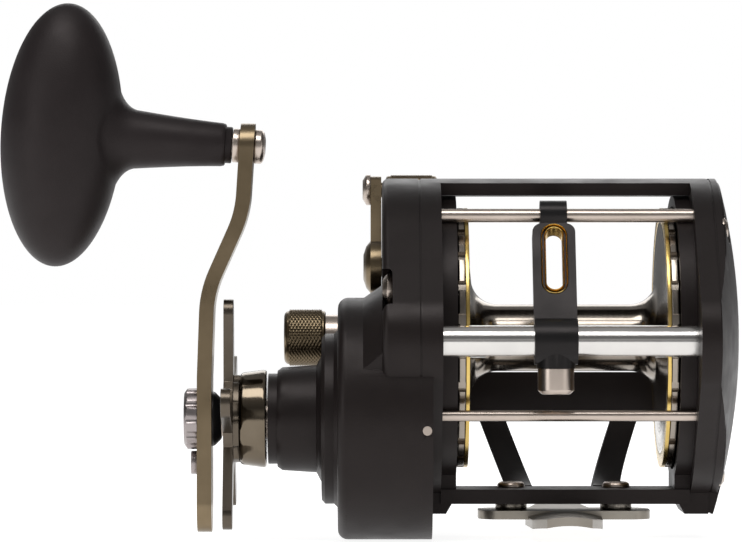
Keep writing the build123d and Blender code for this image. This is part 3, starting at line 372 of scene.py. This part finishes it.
# ---------------------------------------------------------------- pieces built from rows of points
def skin(name, rows, capped=False, loop=False):
    """Surface through rows of points, each row a closed ring.

    capped closes the first and last rings; loop joins the last row to the first."""
    work = bmesh.new()
    rings = [[work.verts.new(point) for point in row] for row in rows]
    pairs = list(zip(rings, rings[1:]))
    if loop:
        pairs.append((rings[-1], rings[0]))
    for lower, upper in pairs:
        count = len(lower)
        for index in range(count):
            after = (index + 1) % count
            work.faces.new((lower[index], lower[after], upper[after], upper[index]))
    if capped:
        work.faces.new(rings[0])
        work.faces.new(rings[-1])
    bmesh.ops.recalc_face_normals(work, faces=work.faces)
    mesh = bpy.data.meshes.new(name)
    work.to_mesh(mesh)
    work.free()
    return mesh


def arc(centre, radius, start, end, steps):
    """Points on an arc in an (x, radius) outline, angles in degrees."""
    points = []
    for step in range(steps + 1):
        turn = math.radians(start + (end - start) * step / steps)
        points.append((centre[0] + radius * math.cos(turn), centre[1] + radius * math.sin(turn)))
    return points


def curve_point(start, bend, end, share):
    """Point at a share of the way along a curve that leaves start and reaches end by way of bend."""
    return start * (1 - share) ** 2 + bend * 2 * share * (1 - share) + end * share ** 2


def rounded(corners, radius, steps=4, closed=True):
    """Outline through corners, each given as (x, r), with every corner cut by a small curve."""
    points = []
    count = len(corners)
    for index, corner in enumerate(corners):
        if not closed and index in (0, count - 1):
            points.append(corner)
            continue
        here = Vector(corner)
        before = Vector(corners[index - 1]) - here
        after = Vector(corners[(index + 1) % count]) - here
        reach = min(radius, before.length * 0.45, after.length * 0.45)
        first = here + before.normalized() * reach
        last = here + after.normalized() * reach
        for step in range(steps + 1):
            point = curve_point(first, here, last, step / steps)
            points.append((point.x, point.y))
    return points


def even_turns(segments):
    """Angles that share out a full turn."""
    return [2 * math.pi * index / segments for index in range(segments)]


def lathe(name, outline, axis, turns, capped=False, loop=False, cut=None):
    """Turned surface about an axis along X, from (x, radius) points in millimetres.

    cut, where given, changes the radius at an x and a turn."""
    rows = []
    for x, full_radius in outline:
        row = []
        for turn in turns:
            radius = cut(x, full_radius, turn) if cut else full_radius
            row.append(Vector((x, radius * math.cos(turn), radius * math.sin(turn))) * MM
                       + Vector((0, axis.y, axis.z)))
        rows.append(row)
    return skin(name, rows, capped, loop)


# ---------------------------------------------------------------- handle knob
KNOB_TILT = math.radians(3.5)
KNOB_PLACE = Matrix.Translation(Vector(JOINTS["knob_spin"]["pos_m"])) @ Matrix.Rotation(KNOB_TILT, 4, "Y")
KNOB_HALF_THICK = 12.5
KNOB_HALF_LENGTH = 27.15
KNOB_CENTRE_X = -38.25
KNOB_SEGMENTS = 112
KNOB_CAP_STEPS = 56
NECK_END_X = KNOB_CENTRE_X + 15.2
NECK_END_R = 6.05
NECK_FILLET_R = 9.6            # where the neck's fillet meets the oval
NECK_FILLET_BEND = (1.3, 0.55)
NECK_FILLET_STEPS = 8
# bore, collar and tapering neck, as (x, radius)
NECK = [(-20.0, 2.62), (-3.4, 2.62), (-3.15, 2.8), (-3.1, 3.2), (-3.12, 3.6), (-3.3, 3.75), (-4.3, 3.75),
        (-4.4, 3.82), (-4.42, 4.1), (-4.6, 4.3), (-5.2, 4.46), (-8.0, 4.62), (-12.0, 4.92), (-16.0, 5.3),
        (-19.5, 5.66), (NECK_END_X, NECK_END_R)]


def make_knob():
    """Oval grip whose neck flows out of it in a small fillet, one closed skin round the spindle."""
    rows = []
    for x, radius in NECK:
        rows.append([Vector((x, radius * math.cos(turn), radius * math.sin(turn)))
                     for turn in even_turns(KNOB_SEGMENTS)])
    starts = []
    for turn in even_turns(KNOB_SEGMENTS):
        across = NECK_FILLET_R * math.cos(turn) / KNOB_HALF_THICK
        along = NECK_FILLET_R * math.sin(turn) / KNOB_HALF_LENGTH
        starts.append((turn, math.sqrt(1 - across ** 2 - along ** 2), math.atan2(along, across)))
    neck_end = Vector((NECK_END_X, NECK_END_R))
    for step in range(1, NECK_FILLET_STEPS):
        share = step / NECK_FILLET_STEPS
        row = []
        for turn, x_share, around in starts:
            end = Vector((KNOB_CENTRE_X + KNOB_HALF_THICK * x_share, NECK_FILLET_R))
            bend = Vector((end.x + NECK_FILLET_BEND[0], NECK_END_R + NECK_FILLET_BEND[1]))
            point = curve_point(neck_end, bend, end, share)
            row.append(Vector((point.x, point.y * math.cos(turn), point.y * math.sin(turn))))
        rows.append(row)
    for step in range(KNOB_CAP_STEPS):
        share = step / KNOB_CAP_STEPS
        row = []
        for turn, x_share, around in starts:
            first = math.acos(x_share)
            polar = first + (math.pi - first) * share
            row.append(Vector((KNOB_CENTRE_X + KNOB_HALF_THICK * math.cos(polar),
                               KNOB_HALF_THICK * math.sin(polar) * math.cos(around),
                               KNOB_HALF_LENGTH * math.sin(polar) * math.sin(around))))
        rows.append(row)
    placed = [[KNOB_PLACE @ (point * MM) for point in row] for row in rows]
    piece = add_piece("knob_soft_grip", skin("knob_soft_grip", placed, capped=True), "handle_knob")
    sharpen(piece.data, degrees=50)


def make_rivet():
    """Spindle of the knob, ending in a riveted head on the arm's outer face."""
    outline = rounded([(-3.9, 0.02), (-3.9, 2.5), (1.55, 2.5), (1.55, 3.5), (3.0, 3.5), (3.45, 3.0),
                       (3.8, 1.5), (3.8, 0.02)], 0.3)
    mesh = lathe("knob_rivet", outline, Vector(), even_turns(64), loop=True)
    mesh.transform(KNOB_PLACE)
    piece = add_piece("knob_rivet", mesh, "knob_spindle")
    sharpen(piece.data, degrees=45)


make_knob()
make_rivet()


# ---------------------------------------------------------------- knurled grips
PER_DIAMOND = 4                # steps across one diamond, both ways
KNURL_FADE_STEPS = 2


def make_knurl(name, node, axis, radius, depth, around, along, start, end, plain_length):
    """Round grip with a diamond knurl between two plain turned ends.

    around and along count the diamonds. start and end are the ends' outlines, as distances from the
    node's low and high end with radii, and plain_length is how far each reaches."""
    low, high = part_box(node)
    x0, x1 = low.x / MM + plain_length[0], high.x / MM - plain_length[1]
    steps = along * PER_DIAMOND

    def knurled(x, full_radius, turn):
        """Radius with the diamonds cut in, fading out at both ends; the plain ends stay as they are."""
        if full_radius < radius:
            return full_radius
        u = around * turn / (2 * math.pi)
        v = along * (x - x0) / (x1 - x0)
        rise = 1 - max(abs((u + v) % 1.0 - 0.5), abs((u - v) % 1.0 - 0.5)) * 2
        fade = min(1.0, min(v, along - v) * PER_DIAMOND / KNURL_FADE_STEPS)
        return full_radius - depth * (1 - rise * fade)

    outline = [(low.x / MM + distance, r) for distance, r in start]
    outline += [(x0 + (x1 - x0) * step / steps, radius) for step in range(steps + 1)]
    outline += [(high.x / MM - distance, r) for distance, r in end]
    mesh = lathe(name, outline, axis, even_turns(around * PER_DIAMOND), capped=True, cut=knurled)
    piece = add_piece(name, mesh, node)
    sharpen(piece.data, degrees=60)


make_knurl(
    "tension_knob_knurled", "spool_tension_knob", SPOOL_AXIS, radius=6.0, depth=0.42, around=30, along=10,
    start=[(0, 0.6), (0, 4.6), (0.15, 5.1), (0.5, 5.45), (0.75, 5.55)],
    end=[(0.45, 5.6), (0.15, 5.5), (0, 5.2), (0, 4.9), (2.0, 4.87)], plain_length=(0.9, 0.6))
thumb_low, thumb_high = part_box("lever_thumb_piece")
make_knurl(
    "thumb_piece_knurled", "lever_thumb_piece", (thumb_low + thumb_high) / 2, radius=3.25, depth=0.26,
    around=18, along=12,
    start=[(0, 1.7), (0, 2.5), (0.2, 2.9), (0.6, 3.02)],
    end=[(0.6, 3.02), (0.2, 2.9), (0, 2.5), (0, 0.4)], plain_length=(0.8, 0.8))


# ---------------------------------------------------------------- spool
def spool_outline():
    """One side of the spool from the arbor's flare by web and rim to its hub, as (x, radius)."""
    fillet = arc(centre=(13.9, 12.6), radius=5.6, start=-90, end=-12, steps=14)
    web = [(19.75, 15.0), (20.0, 18.0), (20.12, 21.0), (20.18, 23.9), (20.2, 24.3), (20.5, 24.36)]
    rim = rounded([(20.6, 24.5), (21.0, 25.6), (21.0, 27.0), (21.15, 27.2), (22.35, 27.2), (22.5, 27.05),
                   (22.5, 25.6), (22.3, 25.2), (21.9, 24.4), (21.6, 23.4), (21.45, 9.6)], 0.15, 2, False)
    hub = [(22.2, 9.2), (22.75, 8.7), (22.9, 8.4), (22.9, 6.0), (22.7, 5.8), (10.0, 5.8), (10.0, 3.4),
           (22.9, 3.4), (22.9, 2.05)]
    return fillet + web + rim + hub


RIM_NOTCHES = 24
NOTCH_PITCH = 360 / RIM_NOTCHES
NOTCH_PHASE = 0.4              # share of a pitch from the first turn to the first notch
NOTCH_HALF = 2.22              # degrees
NOTCH_WALL = 0.06              # degrees between the two turns of a notch's wall
NOTCH_FLOOR_R = 26.2
NOTCH_FROM_X = 20.99           # beyond the coloured ring
RING_OUTLINE = [(20.2, 24.4), (20.2, 27.2), (21.0, 27.2), (21.0, 24.4)]


def notch_turns():
    """Turns round the spool, with close pairs at the notches' walls and four more between notches."""
    across_notch = (-NOTCH_HALF, -NOTCH_HALF + NOTCH_WALL, 0.0, NOTCH_HALF - NOTCH_WALL, NOTCH_HALF)
    between_notches = (4.3, 6.4, 8.5, 10.6)
    return [math.radians(NOTCH_PITCH * (index + NOTCH_PHASE) + offset)
            for index in range(RIM_NOTCHES) for offset in across_notch + between_notches]


def notch_cut(x, radius, turn):
    """Radius of the spool's outline where a notch crosses the rim beside its coloured ring."""
    offset = (math.degrees(turn) / NOTCH_PITCH - NOTCH_PHASE + 0.5) % 1.0 - 0.5
    inside = abs(offset * NOTCH_PITCH) < NOTCH_HALF - NOTCH_WALL / 2
    return NOTCH_FLOOR_R if inside and abs(x) > NOTCH_FROM_X and radius > NOTCH_FLOOR_R else radius


def make_spool():
    """Spool turned in one piece, with its rims notched."""
    side = spool_outline()
    outline = [(-x, radius) for x, radius in reversed(side)] + side
    mesh = lathe("spool_turned", outline, SPOOL_AXIS, notch_turns(), loop=True, cut=notch_cut)
    piece = add_piece("spool_turned", mesh, "spool")
    sharpen(piece.data, degrees=34)


def make_accent_rings():
    """The two coloured rings, one in each rim."""
    both = bmesh.new()
    for way in (-1, 1):
        outline = [(way * x, r) for x, r in rounded(RING_OUTLINE, 0.12, 2)]
        ring = lathe("accent_ring", outline, SPOOL_AXIS, even_turns(160), loop=True)
        both.from_mesh(ring)
        bpy.data.meshes.remove(ring)
    mesh = bpy.data.meshes.new("accent_rings")
    both.to_mesh(mesh)
    both.free()
    piece = add_piece("accent_rings", mesh, "spool_accent_rings")
    sharpen(piece.data, degrees=40)


make_spool()
make_accent_rings()


# ---------------------------------------------------------------- line guide eyelet
EYELET_LENGTH = 16.3
EYELET_WIDTH = 5.5
EYELET_SLOT_WIDTH = 3.35
EYELET_SET_BACK = 0.3
EYELET_STEPS = 96
# two ridges, a groove and a rounded throat, as (offset from the middle line, depth forwards)
EYELET_PROFILE = [(-0.53, -1.6), (0.53, -1.6), (0.53, 1.5), (0.47, 1.85), (0.36, 1.95), (0.25, 1.8),
                  (0.17, 1.0), (-0.15, 1.0), (-0.23, 1.8), (-0.34, 2.0), (-0.46, 1.9), (-0.53, 1.5)]
# forward depths of the groove's floor, which is painted black as painted shade
GROOVE_SHADE_DEPTHS = (0.9, 1.1)


def make_eyelet():
    """Gold oval insert, with the floor of the groove between its ridges painted black as painted shade."""
    low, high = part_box("line_guide_eyelet")
    centre = (low + high) / 2
    rod_low, rod_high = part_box("upper_guide_rod")
    lean = (rod_low + rod_high) / 2 - TUBE_AXIS
    lean.x = 0
    lean.normalize()
    front = X_AXIS.cross(lean)
    half_straight = (EYELET_LENGTH - EYELET_WIDTH) / 2
    middle_r = (EYELET_WIDTH + EYELET_SLOT_WIDTH) / 4
    rows = []
    for turn in even_turns(EYELET_STEPS):
        straight = half_straight if math.sin(turn) > 0 else -half_straight
        row = []
        for offset, depth in EYELET_PROFILE:
            across = math.cos(turn) * (middle_r + offset)
            along = straight + math.sin(turn) * (middle_r + offset)
            forward = depth - EYELET_SET_BACK
            row.append(centre + (X_AXIS * across + lean * along + front * forward) * MM)
        rows.append(row)
    piece = add_piece("eyelet_gold", skin("eyelet_gold", rows, loop=True), "line_guide_eyelet")
    # painted shade: the groove's floor wears the black coating instead of gold
    piece.data.materials.append(MATERIALS["guide_black"])
    for face in piece.data.polygons:
        depth = (face.center - centre).dot(front) / MM + EYELET_SET_BACK
        if GROOVE_SHADE_DEPTHS[0] < depth < GROOVE_SHADE_DEPTHS[1]:
            face.material_index = 1
    sharpen(piece.data, degrees=42)


make_eyelet()


# ---------------------------------------------------------------- studio
IMAGE_WIDTH = 742
FOCAL_PIXELS = 4300
SENSOR = 36.0
CAMERA_PLACE = Vector((-40.4, -903.0, 51.8)) * MM
CAMERA_CLIP = 0.01


def add_camera():
    """Level camera square to the side where the line leaves."""
    data = bpy.data.cameras.new("camera")
    data.sensor_width = SENSOR
    data.lens = SENSOR * FOCAL_PIXELS / IMAGE_WIDTH
    data.clip_start = CAMERA_CLIP
    camera = bpy.data.objects.new("camera", data)
    camera.location = CAMERA_PLACE
    camera.rotation_euler = (math.radians(90), 0, 0)
    bpy.context.scene.collection.objects.link(camera)
    bpy.context.scene.camera = camera


def area_light(name, offset, size, power):
    """Soft white light at an offset from the reel's middle, turned towards it."""
    middle = (cad_low + cad_high) / 2
    data = bpy.data.lights.new(name, "AREA")
    data.shape = "RECTANGLE"
    data.size, data.size_y = size
    data.energy = power
    light = bpy.data.objects.new(name, data)
    light.location = middle + Vector(offset)
    light.rotation_euler = (-Vector(offset)).to_track_quat("-Z", "Y").to_euler()
    bpy.context.scene.collection.objects.link(light)


add_camera()
area_light("key_above", offset=(-0.15, -0.35, 0.75), size=(0.7, 0.35), power=4.0)
area_light("front_left", offset=(-0.75, -0.55, 0.15), size=(0.25, 0.9), power=1.8)
area_light("front_right", offset=(0.75, -0.50, 0.15), size=(0.25, 0.9), power=0.6)
area_light("rear_fill", offset=(0.1, 0.8, 0.4), size=(0.8, 0.4), power=2.0)

# brightness of the surroundings from straight down (0) to straight up (1)
WORLD_BANDS = [(0.0, 0.40), (0.36, 0.30), (0.47, 0.10), (0.53, 0.22), (0.60, 0.60), (0.72, 0.15),
               (1.0, 0.45)]
SIDE_SPAN = (0.40, 0.85)
SIDE_STRENGTH = (0.80, 0.25)   # facing the reel, and off to its ends
FLOOR_RADIUS = 6.0
FLOOR_GAP = 0.4 * MM
FLOOR_GREY = 0.60
FLOOR_GLOW = 0.88


def studio_world():
    """White to the camera; softly banded light for everything the reel reflects."""
    world = bpy.data.worlds.new("studio")
    world.use_nodes = True
    nodes = world.node_tree.nodes
    links = world.node_tree.links
    nodes.clear()
    place = nodes.new("ShaderNodeTexCoord")
    split = nodes.new("ShaderNodeSeparateXYZ")
    links.new(place.outputs["Generated"], split.inputs["Vector"])
    ramp = nodes.new("ShaderNodeValToRGB")
    height = math_node(nodes, links, "MULTIPLY_ADD", split.outputs["Z"], 0.5, 0.5)
    links.new(height, ramp.inputs["Fac"])
    elements = ramp.color_ramp.elements
    while len(elements) < len(WORLD_BANDS):
        elements.new(0.5)
    for element, (position, value) in zip(elements, WORLD_BANDS):
        element.position = position
        element.color = (value, value, value, 1.0)
    sideways = math_node(nodes, links, "ABSOLUTE", split.outputs["X"])
    banded = nodes.new("ShaderNodeBackground")
    links.new(spread(nodes, links, sideways, *SIDE_STRENGTH, span=SIDE_SPAN), banded.inputs["Strength"])
    links.new(ramp.outputs["Color"], banded.inputs["Color"])
    white = nodes.new("ShaderNodeBackground")
    white.inputs["Strength"].default_value = 1.0
    white.inputs["Color"].default_value = (1, 1, 1, 1)
    path = nodes.new("ShaderNodeLightPath")
    choose = nodes.new("ShaderNodeMixShader")
    links.new(path.outputs["Is Camera Ray"], choose.inputs["Fac"])
    links.new(banded.outputs["Background"], choose.inputs[1])
    links.new(white.outputs["Background"], choose.inputs[2])
    output = nodes.new("ShaderNodeOutputWorld")
    links.new(choose.outputs["Shader"], output.inputs["Surface"])
    bpy.context.scene.world = world


def studio_floor():
    """Plain pale floor just below the lowest part of the reel."""
    work = bmesh.new()
    bmesh.ops.create_circle(work, cap_ends=True, radius=FLOOR_RADIUS, segments=64)
    mesh = bpy.data.meshes.new("floor")
    work.to_mesh(mesh)
    work.free()
    floor = bpy.data.objects.new("floor", mesh)
    floor.location = (0, 0, cad_low.z - FLOOR_GAP)
    bpy.context.scene.collection.objects.link(floor)
    material, _, _, shader, _ = new_material("pale_floor", [FLOOR_GREY] * 3, metallic=0.0, roughness=0.9)
    shader.inputs["Specular IOR Level"].default_value = 0.0
    shader.inputs["Emission Color"].default_value = (1, 1, 1, 1)
    shader.inputs["Emission Strength"].default_value = FLOOR_GLOW
    dress(floor, material)


studio_world()
studio_floor()
bpy.context.scene.view_settings.view_transform = "Standard"
bpy.context.scene.view_settings.look = "None"
